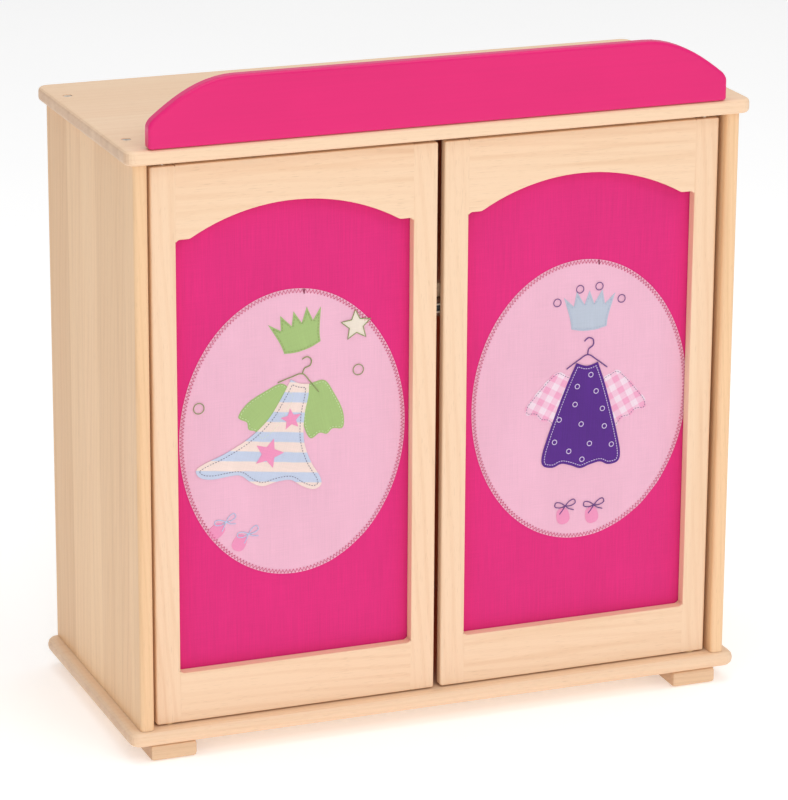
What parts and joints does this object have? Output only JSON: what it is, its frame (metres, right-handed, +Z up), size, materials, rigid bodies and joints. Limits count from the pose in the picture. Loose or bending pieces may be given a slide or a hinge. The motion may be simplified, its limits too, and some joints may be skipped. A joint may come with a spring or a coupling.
{
  "type": "miniature wardrobe",
  "caption": "Miniature wooden wardrobe for dolls' clothes: pine carcass, pink shaped gallery board, and framed doors with pink fabric panels that turn on hidden pivot pins.",
  "frame": {"origin": "centre of the object's footprint, on the ground under the feet", "axes": "+Z up; -Y towards the front, where the doors are; +X towards the right door as seen from the front"},
  "size_m": [0.56, 0.257, 0.5864],
  "materials": {
    "pine": "clear matt lacquer over pale pine, visible straight grain",
    "pine_inside": "unlacquered pine and plywood",
    "pink_paint": "gloss pink paint on wood",
    "pink_fabric": "matt woven cotton, stretched, with a paler applique oval",
    "steel": "bright steel",
    "zinc_plate": "zinc-plated steel, satin",
    "brown_plastic": "matt brown moulded plastic",
    "ferrite": "dark grey ferrite magnet, matt"
  },
  "bodies": {
    "carcass": {"back_panel": "pine_inside", "base_board": "pine", "base_screw_front_left": "steel", "base_screw_front_right": "steel", "base_screw_rear_left": "steel", "base_screw_rear_right": "steel", "catch_housing": "brown_plastic", "catch_magnet": "ferrite", "catch_pole_lower": "steel", "catch_pole_upper": "steel", "catch_screw_left": "steel", "catch_screw_right": "steel", "foot_front_left": "pine", "foot_front_right": "pine", "foot_rear_left": "pine", "foot_rear_right": "pine", "gallery_board": "pink_paint", "gallery_screw_left": "steel", "gallery_screw_right": "steel", "hanging_rail": "pine", "hat_shelf": "pine", "left_door_pivot_pin_lower": "steel", "left_door_pivot_pin_upper": "steel", "left_door_pivot_washer": "zinc_plate", "left_side_panel": "pine", "right_door_pivot_pin_lower": "steel", "right_door_pivot_pin_upper": "steel", "right_door_pivot_washer": "zinc_plate", "right_side_panel": "pine", "shelf_peg_front_left": "pine", "shelf_peg_front_right": "pine", "shelf_peg_rear_left": "pine", "shelf_peg_rear_right": "pine", "top_board": "pine", "top_screw_front_left": "steel", "top_screw_front_right": "steel", "top_screw_rear_left": "steel", "top_screw_rear_right": "steel"},
    "left_door": {"left_door_batten_inner": "pine_inside", "left_door_batten_lower": "pine_inside", "left_door_batten_outer": "pine_inside", "left_door_batten_upper": "pine_inside", "left_door_bottom_rail": "pine", "left_door_fabric_panel": "pink_fabric", "left_door_inner_stile": "pine", "left_door_outer_stile": "pine", "left_door_strike_plate": "zinc_plate", "left_door_strike_screw": "zinc_plate", "left_door_top_rail": "pine"},
    "right_door": {"right_door_batten_inner": "pine_inside", "right_door_batten_lower": "pine_inside", "right_door_batten_outer": "pine_inside", "right_door_batten_upper": "pine_inside", "right_door_bottom_rail": "pine", "right_door_fabric_panel": "pink_fabric", "right_door_inner_stile": "pine", "right_door_outer_stile": "pine", "right_door_strike_plate": "zinc_plate", "right_door_strike_screw": "zinc_plate", "right_door_top_rail": "pine"}
  },
  "joints": [
    {"name": "left_door_hinge", "type": "hinge", "parent": "carcass", "child": "left_door", "pos_m": [-0.242, -0.1085, 0.2705], "axis": [0, 0, -1], "range_deg": [0, 115]},
    {"name": "right_door_hinge", "type": "hinge", "parent": "carcass", "child": "right_door", "pos_m": [0.242, -0.1085, 0.2705], "axis": [0, 0, 1], "range_deg": [0, 115]}
  ]
}
